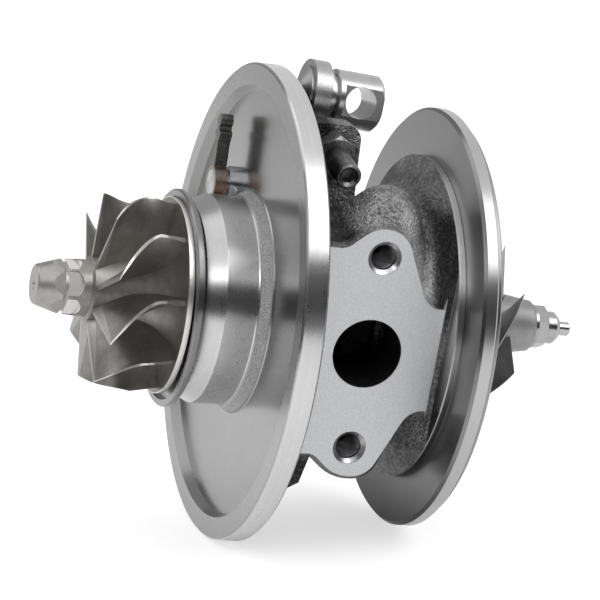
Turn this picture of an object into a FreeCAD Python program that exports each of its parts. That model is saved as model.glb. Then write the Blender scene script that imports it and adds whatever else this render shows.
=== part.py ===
import FreeCAD, Part
import math
import os

from FreeCAD import Vector

# Cartridge of a variable-nozzle turbocharger: bearing housing with its turning wheels.
# Millimetres. +X runs along the shaft from the turbine wheel to the compressor wheel,
# -Y is the outward normal of the oil drain face, +Z completes the frame.
# The origin lies on the shaft axis, half way through the rim of the turbine flange.

# Turbine flange and boss of the bearing housing
flange_radius = 46.5
flange_thickness = 4.6
flange_chamfer = 0.4
recess_radius = 41.4
recess_wall_slope = 0.8
recess_depth = 2.0
boss_radius = 20.35
boss_length = 10.3
boss_nose_radius = 18.5
boss_taper_length = 3.55
band_radius = 21.7
band_length = 2.4
band_fillet = 0.25

# Cast neck and bowl
neck_radius = 17.5
neck_fillet = 3.0
neck_length = 12.0
waist_radius = 21.5
waist_length = 5.0
bowl_radius = 31.9
bowl_length = 8.85
bowl_land = 1.65

# Compressor flange
compressor_flange_x = 34.5
compressor_flange_radius = 41.4
compressor_flange_thickness = 2.9
compressor_flange_chamfer = 0.6

# Oil drain flange
drain_face_y = -26.7
drain_x = 17.8
drain_radius = 6.8
drain_bore_end_y = -8.5
drain_bolt_pitch = 38.0
drain_bolt_radius = 2.5
drain_bolt_depth = 11.0
drain_bolt_chamfer = 0.8
drain_lobe_radius = 5.6
drain_right_x = 31.7
drain_right_top = 9.9
drain_right_bottom = -10.9
drain_left_top = 20.3
drain_left_bottom = -20.8
drain_flare_reach = 1.35
drain_flare_fade = 30.0
drain_flare = ((0.0, 0.0), (2.2, 0.012), (4.6, 0.045), (7.2, 0.105), (9.6, 0.16), (15.0, 0.19))
drain_rib_thickness = 2.4
drain_rib_reach = 8.5
drain_rib_height = 7.2

# Oil inlet on the side away from the drain
inlet_x = 14.0
inlet_face_y = 25.5
inlet_boss_radius = 7.5
inlet_radius = 4.4
inlet_depth = 8.5
inlet_passage_radius = 1.5
gallery_radius = 1.25
gallery_y = 12.9
feed_radius = 0.9

# Inner cavities
seal_bore_radius = 7.7
slinger_cavity_radius = 10.5
slinger_cavity_start = -6.6
slinger_cavity_length = 4.4
core_radius = 11.0
oil_slot_radius = 3.2
oil_slot_y = -8.4
thrust_slot_y = -12.6
thrust_slot_radius = 2.8
thrust_bore_radius = 17.05
thrust_seat_x = 31.75
thrust_pocket_radius = 9.0
thrust_pocket_x = 28.4

# Floating journal bearings
journal_radius = 3.5
bearing_radius = 6.0
bearing_length = 6.0
running_clearance = 0.05
bearing_end_play = 0.1
turbine_bearing_x = -0.4
compressor_bearing_x = 20.7
bearing_oil_hole_radius = 0.8
bearing_oil_holes = 4
retaining_ring_width = 0.9
retaining_ring_depth = 0.75
retaining_ring_inner = 4.7
retaining_ring_gap = 5.0
bearing_bore_land = 0.7

# Rotor
rotor_neck_radius = 7.6
rotor_neck_end = -7.2
slinger_groove_width = 1.6
slinger_groove_depth = 1.1
shaft_shoulder_x = 30.4
stub_radius = 2.5
thread_radius = 2.0
tip_radius = 1.42
shaft_end_x = 69.0
shaft_relief_radius = 3.1
shaft_relief_inset = 2.5

# Piston rings
ring_width = 1.2
ring_side_gap = 0.05
ring_groove_depth = 1.4
ring_bottom_gap = 0.2
ring_bore_gap = 0.02
ring_end_gap = 0.6
turbine_ring_x = -11.2
compressor_ring_x = 37.0

# Turbine wheel
turbine_blades = 9
turbine_phase = 53.1
turbine_radius = 19.1
turbine_disc_x = -16.25
turbine_disc_thickness = 1.05
turbine_inlet_width = 5.25
turbine_exducer_x = -29.6
turbine_exducer_radius = 18.5
turbine_throat_dip = 0.35
turbine_hub_exit_x = -31.0
turbine_hub_exit_radius = 6.3
turbine_wrap = 29.0
turbine_wrap_power = 1.7
turbine_root_thickness = 2.0
turbine_tip_thickness = 0.9
collar_end_x = -36.45
collar_radius = 5.35
nose_notch_depth = 0.7
nose_notch_width = 0.7
nose_radius = 5.3
nose_tip_radius = 3.9
nose_tip_x = -41.6
nose_flat_count = 6
nose_flat = 4.72
nose_flat_turn = 24.0
nose_cutter_radius = 3.2
nose_centre_radius = 1.1

# Heat shield
shield_radius = 21.15
shield_lip_inner = 19.75
shield_lip_thickness = 0.9
shield_front_x = -14.9
shield_pan_depth = 0.9
shield_sheet = 0.8
shield_bore_radius = 8.6
shield_foot_inner = 10.0
shield_foot_outer = 16.0
shield_drop = 0.45
shield_tilt = 1.0
shield_seat_gap = 0.02

# Thrust parts
thrust_collar_radius = 6.2
thrust_collar_flange = 1.3
thrust_waist_radius = 4.3
thrust_plate_radius = 17.0
thrust_plate_thickness = 2.4
thrust_play = 0.05
thrust_bore_clearance = 0.1
thrust_pad_depth = 0.3
thrust_cutout_radius = 4.0
thrust_screw_circle = 13.6
thrust_screw_radius = 1.25
thrust_screw_head_radius = 2.2
thrust_screw_head = 1.1
thrust_screw_length = 4.2
thrust_socket_flats = 2.0
thrust_socket_depth = 0.8
thrust_screws = 3
deflector_thickness = 0.5
deflector_bore = 8.2
deflector_radius = 11.2
deflector_foot = 0.9
flinger_flange_radius = 7.6
flinger_flange = 1.2
flinger_neck_radius = 5.6

# Compressor backplate
backplate_radius = 40.2
backplate_thickness = 1.2
backplate_undercut = 0.3
backplate_undercut_radius = 39.2
spigot_depth = 1.9
spigot_inner_radius = 12.6
spigot_clearance = 0.05
seal_hub_radius = 9.2
seal_hub_depth = 1.5
seal_hub_clearance = 0.08
backplate_web = 1.8
o_ring_section = 1.0
o_ring_gap = 0.02
o_ring_groove_x = 36.3
backplate_screws = 4
backplate_screw_circle = 36.2
backplate_screw_radius = 1.5
backplate_screw_head_radius = 2.4
backplate_screw_length = 3.6
backplate_screw_phase = 45.0
backplate_flush = 0.05

# Compressor wheel
compressor_blades = 6
compressor_phase = 40.0
compressor_radius = 23.5
compressor_gap = 0.85
compressor_disc = 1.1
compressor_exit_width = 2.9
compressor_inlet_x = 53.2
compressor_inlet_radius = 15.7
compressor_hub_inlet_x = 54.6
compressor_hub_radius = 5.9
compressor_nose_radius = 5.1
compressor_nose_x = 60.35
compressor_wrap = 62.0
compressor_wrap_power = 1.8
splitter_start = 0.33
compressor_root_thickness = 1.3
compressor_tip_thickness = 0.6
compressor_back_hub = 0.15
wheel_bore_clearance = 0.02

# Shaft nut
nut_flats = 7.7
nut_turn = 30.0
nut_gap = 0.0
nut_washer_radius = 4.4
nut_washer = 0.7
nut_hex_length = 2.4
nut_collar_radius = 3.25
nut_collar_length = 2.85
nut_taper = 1.0
nut_mouth_radius = 2.35

# Nozzle lever through the turbine flange
pivot_y = 16.76
pivot_z = 18.81
pivot_radius = 2.5
bush_radius = 3.55
bush_proud = 1.9
lever_boss_radius = 6.4
lever_boss_end = 9.8
inner_hub_radius = 3.45
inner_hub_length = 2.6
inner_hub_gap = 0.4
inner_arm_thickness = 2.5
inner_arm_lean = 6.0
inner_arm_width = 1.8
inner_shoulder_start = 8.2
inner_shoulder_top = 10.5
inner_shoulder_width = 3.4
inner_waist_width = 1.5
inner_tip_reach = 12.5
inner_tip_radius = 1.3
outer_lever_x = 10.1
outer_lever_thickness = 3.4
outer_hub_radius = 5.4
outer_arm_width = 7.4
eye_y = 14.4
eye_z = 39.4
eye_radius = 6.65
eye_tilt = 4.0

# Actuator pin, riveted through the eye so that it can swivel
pin_shank_radius = 3.4
pin_head_radius = 5.2
pin_head_crown = 1.1
pin_head_rim = 0.5
pin_side_play = 0.06
pin_washer_radius = 5.2
pin_washer_inner = 3.5
pin_washer_thickness = 0.9
pin_neck_length = 0.8
pin_neck_radius = 4.6
pin_radius = 5.6
pin_length = 9.7
pin_end_chamfer = 0.7
pin_flat = 4.7
pin_flat_start = 1.3
pin_hole_radius = 3.2
pin_hole_inset = 4.7
pin_rest_turn = -9.0

# Stop screw, its lock nut and the cast lug that holds them
lug_front_y = -0.6
lug_thickness = 5.0
lug_end_x = 18.4
lug_foot_x = 19.6
lug_top_z = 37.3
lug_foot_z = 14.0
lug_corner = 3.0
screw_x = 12.6
screw_end_y = -13.1
screw_end_z = 30.4
screw_tilt = 7.0
screw_radius = 2.5
screw_tip_gap = 0.05
screw_tip_taper = 0.6
screw_socket_flats = 2.5
screw_socket_depth = 2.6
screw_socket_chamfer = 0.5
screw_end_chamfer = 0.3
lock_nut_flats = 8.0
lock_nut_length = 3.2
lock_nut_turn = 30.0
thread_clearance = 0.02

# Stations that follow from the sizes above
flange_front = -flange_thickness / 2
flange_back = flange_thickness / 2
recess_floor = flange_front + recess_depth
boss_front = flange_front - boss_length
turbine_disc_back = turbine_disc_x + turbine_disc_thickness
compressor_flange_face = compressor_flange_x + compressor_flange_thickness
backplate_front = compressor_flange_face + backplate_thickness
wheel_back_x = backplate_front + compressor_gap
flinger_x = shaft_shoulder_x + thrust_collar_flange + thrust_plate_thickness + 2 * thrust_play
flinger_end = wheel_back_x - compressor_back_hub
bearing_bore_radius = bearing_radius + running_clearance
bush_length = recess_floor - bush_proud
screw_tilt_axis = Vector(0, math.cos(math.radians(screw_tilt)), math.sin(math.radians(screw_tilt)))

X_AXIS = Vector(1, 0, 0)
Y_AXIS = Vector(0, 1, 0)
ORIGIN = Vector(0, 0, 0)


def rod(radius, start, length, axis=X_AXIS):
    """Round bar from a start point along an axis."""
    return Part.makeCylinder(radius, length, start, axis)


def rod_x(radius, x0, x1, y=0.0, z=0.0):
    """Round bar parallel to the shaft between two stations."""
    return Part.makeCylinder(radius, x1 - x0, Vector(x0, y, z), X_AXIS)


def tube_x(outer, inner, x0, x1, y=0.0, z=0.0):
    """Tube parallel to the shaft between two stations."""
    return rod_x(outer, x0, x1, y, z).cut(rod_x(inner, x0 - 1, x1 + 1, y, z))


def closed_wire(path):
    """Wire through the path, where a pair of points means an arc through the first."""
    edges = []
    here = path[0]
    for step in list(path[1:]) + [path[0]]:
        if isinstance(step, Vector):
            if (step - here).Length > 1e-6:
                edges.append(Part.makeLine(here, step))
            here = step
        else:
            edges.append(Part.Arc(here, step[0], step[1]).toShape())
            here = step[1]
    return Part.Wire(edges)


def turned(stations):
    """Body turned about the shaft axis from an outline of (station, radius) points."""
    path = []
    for item in stations:
        if isinstance(item[0], tuple):
            path.append(tuple(Vector(x, r, 0) for x, r in item))
        else:
            path.append(Vector(item[0], item[1], 0))
    return Part.Face(closed_wire(path)).revolve(ORIGIN, X_AXIS, 360)


def plate_x(path, x0, x1):
    """Plate square to the shaft from an outline of (y, z) points."""
    outline = []
    for item in path:
        if isinstance(item[0], tuple):
            outline.append(tuple(Vector(x0, y, z) for y, z in item))
        else:
            outline.append(Vector(x0, item[0], item[1]))
    return Part.Face(closed_wire(outline)).extrude(Vector(x1 - x0, 0, 0))


def plate_y(path, y0, y1):
    """Plate square to the Y axis from an outline of (x, z) points."""
    outline = []
    for item in path:
        if isinstance(item[0], tuple):
            outline.append(tuple(Vector(x, y0, z) for x, z in item))
        else:
            outline.append(Vector(item[0], y0, item[1]))
    return Part.Face(closed_wire(outline)).extrude(Vector(0, y1 - y0, 0))


def hexagon(flats, start, length, axis=X_AXIS, turn=0.0):
    """Six-sided bar, measured across its flats."""
    across = flats / 2 / math.cos(math.radians(30))
    side = Vector(0, 0, 1).cross(axis) if abs(axis.z) < 0.9 else Vector(1, 0, 0)
    side.normalize()
    up = axis.cross(side)
    corners = []
    for k in range(7):
        angle = math.radians(60 * k + turn)
        corners.append(start + side * (across * math.cos(angle)) + up * (across * math.sin(angle)))
    return Part.Face(Part.makePolygon(corners)).extrude(axis * length)


def around(shape, count, phase=0.0):
    """Copies of a shape spaced evenly about the shaft axis."""
    copies = []
    for k in range(count):
        copy = shape.copy()
        copy.rotate(ORIGIN, X_AXIS, phase + 360.0 * k / count)
        copies.append(copy)
    return copies


def on_circle(radius, angle):
    """Point (y, z) at an angle turned from -Y towards +Z."""
    a = math.radians(angle)
    return -radius * math.cos(a), radius * math.sin(a)


# Blades

def spline_through(points):
    """Smooth curve through a few (station, radius) points."""
    curve = Part.BSplineCurve()
    curve.interpolate([Vector(x, r, 0) for x, r in points])
    return curve


def along(curve, share):
    """Point (station, radius) at a share of a curve's parameter range."""
    first, last = curve.FirstParameter, curve.LastParameter
    p = curve.value(first + share * (last - first))
    return p.x, p.y


def blade(root, tip, wrap, root_thickness, tip_thickness, phase, start=0.0, steps=8):
    """Blade made of straight lines from a root curve to a tip curve.

    wrap gives the turn of the camber surface in degrees at a station, so that every
    element of the blade stands almost radially. Thickness tapers from root to tip
    and thins towards both edges.
    """
    rows = {}
    for side in (-1, 1):
        for name, curve, thickness in (("root", root, root_thickness), ("tip", tip, tip_thickness)):
            points = []
            for k in range(steps + 1):
                share = start + (1 - start) * k / steps
                x, r = along(curve, share)
                flow = (share - start) / (1 - start)
                full = 0.55 + 0.45 * math.sin(math.pi * min(max(flow, 0.0), 1.0))
                swing = math.degrees(side * thickness * full / 2 / r)
                y, z = on_circle(r, phase + wrap(x) + swing)
                points.append(Vector(x, y, z))
            curve3 = Part.BSplineCurve()
            curve3.interpolate(points)
            rows[side, name] = curve3.toShape()
    faces = [
        Part.makeRuledSurface(rows[-1, "root"], rows[-1, "tip"]),
        Part.makeRuledSurface(rows[1, "root"], rows[1, "tip"]),
        Part.makeRuledSurface(rows[-1, "root"], rows[1, "root"]),
        Part.makeRuledSurface(rows[-1, "tip"], rows[1, "tip"]),
    ]
    for end in (0, 1):
        corner = {key: edge.Vertexes[end].Point for key, edge in rows.items()}
        low = Part.makeLine(corner[-1, "root"], corner[-1, "tip"])
        high = Part.makeLine(corner[1, "root"], corner[1, "tip"])
        faces.append(Part.makeRuledSurface(low, high))
    shell = Part.makeCompound(faces)
    shell.sewShape(0.001)
    solid = Part.Solid(shell.Shells[0] if shell.Shells else shell)
    if solid.Volume < 0:
        solid.reverse()
    return solid


# Turbine wheel

def turbine_wrap_at(x):
    """Camber turn of the turbine blade: straight at the inlet, curled at the exducer."""
    inlet_end = turbine_disc_x - turbine_inlet_width
    reach = inlet_end + 0.5 - turbine_exducer_x
    run = max(inlet_end + 0.5 - x, 0.0) / reach
    return -turbine_wrap * run ** turbine_wrap_power


def turbine_hub_points(inset=0.0):
    """Hub line from the rim of the back disc down to the exducer."""
    rim = turbine_radius - 0.6
    drop = rim - turbine_hub_exit_radius
    length = turbine_disc_x - turbine_hub_exit_x
    return [
        (turbine_disc_x + inset, rim),
        (turbine_disc_x - 0.05 * length + inset, turbine_hub_exit_radius + 0.62 * drop - inset),
        (turbine_disc_x - 0.20 * length + inset, turbine_hub_exit_radius + 0.30 * drop - inset),
        (turbine_disc_x - 0.52 * length, turbine_hub_exit_radius + 0.08 * drop - inset),
        (turbine_hub_exit_x, turbine_hub_exit_radius - inset),
    ]


def turbine_hub():
    """Back disc, waisted hub, milled collar and the ground nose that drives balancing."""
    line = spline_through(turbine_hub_points())
    collar_start = turbine_hub_exit_x - 0.4
    notch = collar_end_x + nose_notch_width
    outline = [
        Vector(turbine_disc_back, 0, 0),
        Vector(turbine_disc_back, turbine_radius, 0),
        Vector(turbine_disc_x, turbine_radius, 0),
        Vector(turbine_disc_x, turbine_radius - 0.6, 0),
    ]
    edges = [Part.makeLine(a, b) for a, b in zip(outline, outline[1:])]
    edges.append(line.toShape())
    tail = [
        Vector(turbine_hub_exit_x, turbine_hub_exit_radius, 0),
        Vector(collar_start, collar_radius + 0.2, 0),
        Vector(notch, collar_radius, 0),
        Vector(notch, collar_radius - nose_notch_depth, 0),
        Vector(collar_end_x, collar_radius - nose_notch_depth, 0),
        Vector(collar_end_x, nose_radius - 0.3, 0),
        Vector(collar_end_x - 0.3, nose_radius, 0),
        Vector(nose_tip_x + 0.3, nose_tip_radius, 0),
        Vector(nose_tip_x, nose_tip_radius - 0.3, 0),
        Vector(nose_tip_x, 0, 0),
        outline[0],
    ]
    edges += [Part.makeLine(a, b) for a, b in zip(tail, tail[1:])]
    hub = Part.Face(Part.Wire(edges)).revolve(ORIGIN, X_AXIS, 360)
    notch = Vector(collar_end_x + nose_notch_width / 2, -nose_flat, 0)
    cutter = rod(nose_cutter_radius, notch, 5, Vector(0, -1, 0))
    for mill in around(cutter, nose_flat_count, -nose_flat_turn):
        hub = hub.cut(mill)
    drill = Part.makeCone(nose_centre_radius, 0, nose_centre_radius * 1.6, Vector(nose_tip_x, 0, 0), X_AXIS)
    return hub.cut(drill)


def turbine_wheel():
    """Cast radial turbine wheel: curled blades standing on the waisted hub."""
    root = spline_through([(x, r - 0.5) for x, r in turbine_hub_points(0.4)])
    inlet_tip_x = turbine_disc_x - turbine_inlet_width
    middle_x = (inlet_tip_x + turbine_exducer_x) / 2
    middle_r = (turbine_radius + turbine_exducer_radius) / 2 - turbine_throat_dip
    tip = spline_through([(inlet_tip_x, turbine_radius), (middle_x, middle_r),
                          (turbine_exducer_x, turbine_exducer_radius)])
    blades = []
    for k in range(turbine_blades):
        phase = turbine_phase + 360.0 * k / turbine_blades
        blades.append(blade(root, tip, turbine_wrap_at, turbine_root_thickness,
                            turbine_tip_thickness, phase))
    return turbine_hub().multiFuse(blades)


# Compressor wheel

def compressor_wrap_at(x):
    """Camber turn of the compressor blade: steep at the inducer, straight at the rim."""
    start = wheel_back_x + compressor_disc
    run = max(x - start, 0.0) / (compressor_inlet_x - start)
    return compressor_wrap * (run ** compressor_wrap_power - 1)


def compressor_hub_points(inset=0.0):
    """Hub line from the nose down to the rim of the back disc."""
    rim_x = wheel_back_x + compressor_disc
    length = compressor_hub_inlet_x - rim_x
    rise = compressor_radius - compressor_hub_radius
    return [
        (compressor_hub_inlet_x, compressor_hub_radius - inset),
        (rim_x + 0.52 * length - inset, compressor_hub_radius + 0.13 * rise - inset),
        (rim_x + 0.18 * length - inset, compressor_hub_radius + 0.42 * rise - inset),
        (rim_x + 0.03 * length - inset, compressor_hub_radius + 0.78 * rise - inset),
        (rim_x - inset, compressor_radius),
    ]


def compressor_wheel():
    """Compressor wheel with full blades and splitters on one hub."""
    rim_x = wheel_back_x + compressor_disc
    line = spline_through(compressor_hub_points())
    outline = [
        Vector(rim_x, compressor_radius, 0),
        Vector(wheel_back_x, compressor_radius, 0),
        Vector(wheel_back_x, flinger_neck_radius + 1.2, 0),
        Vector(flinger_end, flinger_neck_radius + 0.8, 0),
        Vector(flinger_end, stub_radius + wheel_bore_clearance, 0),
        Vector(compressor_nose_x, stub_radius + wheel_bore_clearance, 0),
        Vector(compressor_nose_x, compressor_nose_radius - 0.5, 0),
        Vector(compressor_nose_x - 0.5, compressor_nose_radius, 0),
        Vector(compressor_hub_inlet_x, compressor_hub_radius, 0),
    ]
    edges = [Part.makeLine(a, b) for a, b in zip(outline, outline[1:])]
    edges.append(line.toShape())
    hub = Part.Face(Part.Wire(edges)).revolve(ORIGIN, X_AXIS, 360)
    root = spline_through([(x, r - 0.4) for x, r in compressor_hub_points(0.4)])
    exit_x = rim_x + compressor_exit_width
    length = compressor_inlet_x - exit_x
    rise = compressor_radius - compressor_inlet_radius
    tip = spline_through([
        (compressor_inlet_x, compressor_inlet_radius),
        (exit_x + 0.55 * length, compressor_inlet_radius + 0.10 * rise),
        (exit_x + 0.20 * length, compressor_inlet_radius + 0.40 * rise),
        (exit_x, compressor_radius),
    ])
    step = 360.0 / compressor_blades
    blades = []
    for k in range(compressor_blades):
        phase = compressor_phase + k * step
        blades.append(blade(root, tip, compressor_wrap_at, compressor_root_thickness,
                            compressor_tip_thickness, phase))
        blades.append(blade(root, tip, compressor_wrap_at, compressor_root_thickness,
                            compressor_tip_thickness, phase + step / 2, splitter_start, 6))
    return hub.multiFuse(blades)


# Rotor shaft and what it carries

def rotor_shaft():
    """Shaft forging: sealed neck, two journals with a relief between, stub and tip."""
    groove = rotor_neck_radius - ring_groove_depth
    ring_half = ring_width / 2 + ring_side_gap
    slinger = rotor_neck_end - slinger_groove_width
    relief_start = turbine_bearing_x + bearing_length + shaft_relief_inset
    relief_end = compressor_bearing_x - shaft_relief_inset
    thread_start = compressor_nose_x - 0.2
    thread_end = compressor_nose_x + nut_washer + nut_hex_length + nut_collar_length - 0.6
    return turned([
        (turbine_disc_back, 0),
        (turbine_disc_back, rotor_neck_radius),
        (turbine_ring_x - ring_half, rotor_neck_radius),
        (turbine_ring_x - ring_half, groove),
        (turbine_ring_x + ring_half, groove),
        (turbine_ring_x + ring_half, rotor_neck_radius),
        (slinger - 0.6, rotor_neck_radius),
        (slinger - 0.6, rotor_neck_radius - slinger_groove_depth),
        (slinger + 0.4, rotor_neck_radius - slinger_groove_depth),
        (slinger + 0.4, rotor_neck_radius),
        (rotor_neck_end, rotor_neck_radius),
        (rotor_neck_end, journal_radius + 1.4),
        (rotor_neck_end + 1.4, journal_radius),
        (relief_start, journal_radius),
        (relief_start + 0.6, shaft_relief_radius),
        (relief_end - 0.6, shaft_relief_radius),
        (relief_end, journal_radius),
        (shaft_shoulder_x, journal_radius),
        (shaft_shoulder_x, stub_radius),
        (thread_start, stub_radius),
        (thread_start, thread_radius),
        (thread_end, thread_radius),
        (thread_end, tip_radius),
        (shaft_end_x - 0.3, tip_radius),
        (shaft_end_x, tip_radius - 0.3),
        (shaft_end_x, 0),
    ])


def piston_ring(x, bore_radius, neck_radius):
    """Split ring that springs against its bore and sits in a groove of the rotor."""
    outer = bore_radius - ring_bore_gap
    inner = neck_radius - ring_groove_depth + ring_bottom_gap
    ring = tube_x(outer, inner, x - ring_width / 2, x + ring_width / 2)
    split = Part.makeBox(ring_width + 2, ring_end_gap, 4, Vector(x - ring_width / 2 - 1, -ring_end_gap / 2, inner - 1))
    return ring.cut(split)


def journal_bearing(x0):
    """Floating bearing bush with radial oil holes and chamfered ends."""
    x1 = x0 + bearing_length
    inner = journal_radius + running_clearance
    bush = turned([
        (x0, inner + 0.3), (x0, bearing_radius - 0.4), (x0 + 0.4, bearing_radius),
        (x1 - 0.4, bearing_radius), (x1, bearing_radius - 0.4), (x1, inner + 0.3),
        (x1 - 0.3, inner), (x0 + 0.3, inner),
    ])
    hole = rod(bearing_oil_hole_radius, Vector((x0 + x1) / 2, 0, 0), bearing_radius + 1, Vector(0, 0, 1))
    for cutter in around(hole, bearing_oil_holes, 45.0):
        bush = bush.cut(cutter)
    return bush


def retaining_stations():
    """Start stations of the four retaining rings, a pair beside each bearing."""
    stations = []
    for x0 in (turbine_bearing_x, compressor_bearing_x):
        stations.append(x0 - bearing_end_play - retaining_ring_width)
        stations.append(x0 + bearing_length + bearing_end_play)
    return stations


def retaining_rings():
    """Snap rings that hold the floating bearings endwise."""
    rings = []
    for x0 in retaining_stations():
        x1 = x0 + retaining_ring_width
        outer = bearing_bore_radius + retaining_ring_depth - 0.1
        ring = tube_x(outer, retaining_ring_inner, x0, x1)
        gap = Part.makeBox(retaining_ring_width + 2, outer + 2, retaining_ring_gap,
                           Vector(x0 - 1, 0, -retaining_ring_gap / 2))
        rings.append(ring.cut(gap))
    return Part.makeCompound(rings)


def thrust_collar():
    """Spool that turns with the shaft and runs against the thrust bearing."""
    x0 = shaft_shoulder_x
    x1 = x0 + thrust_collar_flange
    bore = stub_radius + wheel_bore_clearance
    return turned([
        (x0, bore), (x0, thrust_collar_radius), (x1, thrust_collar_radius),
        (x1, thrust_waist_radius), (flinger_x, thrust_waist_radius), (flinger_x, bore),
    ])


def thrust_screw_points():
    """Centres (y, z) of the thrust bearing screws."""
    return [on_circle(thrust_screw_circle, 60 + 360.0 * k / thrust_screws) for k in range(thrust_screws)]


def thrust_bearing():
    """Fixed thrust plate with a close bore, oil pads and a drain cut-out towards -Y."""
    x0 = thrust_seat_x
    x1 = x0 + thrust_plate_thickness
    bore = thrust_waist_radius + thrust_bore_clearance
    plate = tube_x(thrust_plate_radius, bore, x0, x1)
    plate = plate.cut(rod_x(thrust_cutout_radius, x0 - 1, x1 + 1, -thrust_plate_radius + 1.2))
    for y, z in thrust_screw_points():
        plate = plate.cut(rod_x(thrust_screw_radius + 0.15, x0 - 1, x1 + 1, y, z))
    groove = Part.makeBox(thrust_pad_depth, 1.0, 2.2, Vector(x1 - thrust_pad_depth, -0.5, bore - 0.5))
    for cutter in around(groove, 4, 45.0):
        plate = plate.cut(cutter)
    return plate


def thrust_screws_group():
    """Screws that clamp the thrust plate to its seat in the housing."""
    screws = []
    x0 = thrust_seat_x + thrust_plate_thickness
    for y, z in thrust_screw_points():
        head = rod_x(thrust_screw_head_radius, x0, x0 + thrust_screw_head, y, z)
        shank = rod_x(thrust_screw_radius, x0 - thrust_plate_thickness - thrust_screw_length, x0, y, z)
        socket = hexagon(thrust_socket_flats, Vector(x0 + thrust_screw_head - thrust_socket_depth, y, z), thrust_screw_head)
        screws.append(head.fuse(shank).removeSplitter().cut(socket))
    return Part.makeCompound(screws)


def oil_deflector():
    """Thin shield between the thrust plate and the compressor seal."""
    x0 = thrust_seat_x + thrust_plate_thickness
    disc = turned([
        (x0, deflector_radius), (x0, deflector_radius - deflector_thickness),
        (x0 + deflector_foot, deflector_radius - deflector_thickness - 0.6),
        (x0 + deflector_foot, deflector_bore),
        (x0 + deflector_foot + deflector_thickness, deflector_bore),
        (x0 + deflector_foot + deflector_thickness, deflector_radius - deflector_thickness),
        (x0 + deflector_thickness, deflector_radius),
    ])
    return disc


def oil_flinger():
    """Sleeve that throws oil off the shaft and carries the compressor piston ring."""
    bore = stub_radius + wheel_bore_clearance
    half = ring_width / 2 + ring_side_gap
    groove = flinger_neck_radius - ring_groove_depth
    x1 = flinger_x + flinger_flange
    return turned([
        (flinger_x, bore), (flinger_x, flinger_flange_radius - 0.5),
        (x1 - 0.4, flinger_flange_radius), (x1, flinger_flange_radius),
        (x1, flinger_neck_radius), (compressor_ring_x - half, flinger_neck_radius),
        (compressor_ring_x - half, groove), (compressor_ring_x + half, groove),
        (compressor_ring_x + half, flinger_neck_radius),
        (flinger_end, flinger_neck_radius), (flinger_end, bore),
    ])


def shaft_nut():
    """Washer-faced hexagon nut with a round tapered collar."""
    x0 = compressor_nose_x + nut_gap
    x1 = x0 + nut_washer
    x2 = x1 + nut_hex_length
    x3 = x2 + nut_collar_length
    body = rod_x(nut_washer_radius, x0, x1)
    body = body.fuse(hexagon(nut_flats, Vector(x1, 0, 0), nut_hex_length, X_AXIS, nut_turn))
    collar = turned([
        (x2, 0), (x2, nut_collar_radius), (x3 - nut_taper, nut_collar_radius),
        (x3, nut_mouth_radius), (x3, 0),
    ])
    corner = nut_flats / 2 / math.cos(math.radians(30))
    bevel = turned([
        (x2 - 0.55, corner + 0.4), (x2 - 0.55, corner), (x2, corner - 0.8),
        (x2 + 0.5, corner - 0.8), (x2 + 0.5, corner + 0.4),
    ])
    body = body.fuse(collar).cut(bevel).removeSplitter()
    return body.cut(rod_x(thread_radius + thread_clearance, x0 - 1, x3 + 1))


# Compressor backplate

def backplate_screw_points():
    """Centres (y, z) of the backplate screws."""
    step = 360.0 / backplate_screws
    angles = [backplate_screw_phase + k * step for k in range(backplate_screws)]
    return [on_circle(backplate_screw_circle, angle) for angle in angles]


def compressor_backplate():
    """Disc that closes the bearing housing behind the compressor wheel."""
    face = compressor_flange_face
    front = backplate_front
    spigot = thrust_bore_radius - spigot_clearance
    half = o_ring_section / 2 + 0.1
    groove = thrust_bore_radius - o_ring_section - 2 * o_ring_gap
    seal = flinger_neck_radius + seal_hub_clearance
    plate = turned([
        (front, seal), (front, backplate_radius - 0.3), (front - 0.3, backplate_radius),
        (face + backplate_undercut, backplate_radius),
        (face + backplate_undercut, backplate_undercut_radius), (face, backplate_undercut_radius),
        (face, spigot), (o_ring_groove_x + half, spigot),
        (o_ring_groove_x + half, groove), (o_ring_groove_x - half, groove),
        (o_ring_groove_x - half, spigot), (face - spigot_depth, spigot),
        (face - spigot_depth, spigot_inner_radius), (front - backplate_web, spigot_inner_radius - 0.8),
        (front - backplate_web, seal_hub_radius), (face - seal_hub_depth, seal_hub_radius - 0.6),
        (face - seal_hub_depth, seal),
    ])
    depth = backplate_screw_head_radius - backplate_screw_radius
    for y, z in backplate_screw_points():
        plate = plate.cut(rod_x(backplate_screw_radius + 0.1, face - 1, front + 1, y, z))
        sink = Part.makeCone(backplate_screw_radius, backplate_screw_head_radius + 0.1, depth + 0.1,
                             Vector(front - depth - 0.1, y, z), X_AXIS)
        plate = plate.cut(sink)
    return plate


def backplate_screws_group():
    """Countersunk screws that hold the backplate to the housing."""
    depth = backplate_screw_head_radius - backplate_screw_radius
    front = backplate_front - backplate_flush
    screws = []
    for y, z in backplate_screw_points():
        head = Part.makeCone(backplate_screw_radius, backplate_screw_head_radius, depth,
                             Vector(front - depth, y, z), X_AXIS)
        shank = rod_x(backplate_screw_radius, front - backplate_screw_length, front - depth, y, z)
        socket = hexagon(2.0, Vector(front - 0.9, y, z), 1.5)
        screws.append(head.fuse(shank).cut(socket))
    return Part.makeCompound(screws)


def backplate_o_ring():
    """Round-section seal in the groove of the backplate spigot."""
    section = o_ring_section / 2
    radius = thrust_bore_radius - o_ring_gap - section
    return Part.makeTorus(radius, section, Vector(o_ring_groove_x, 0, 0), X_AXIS)


# Heat shield

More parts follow.
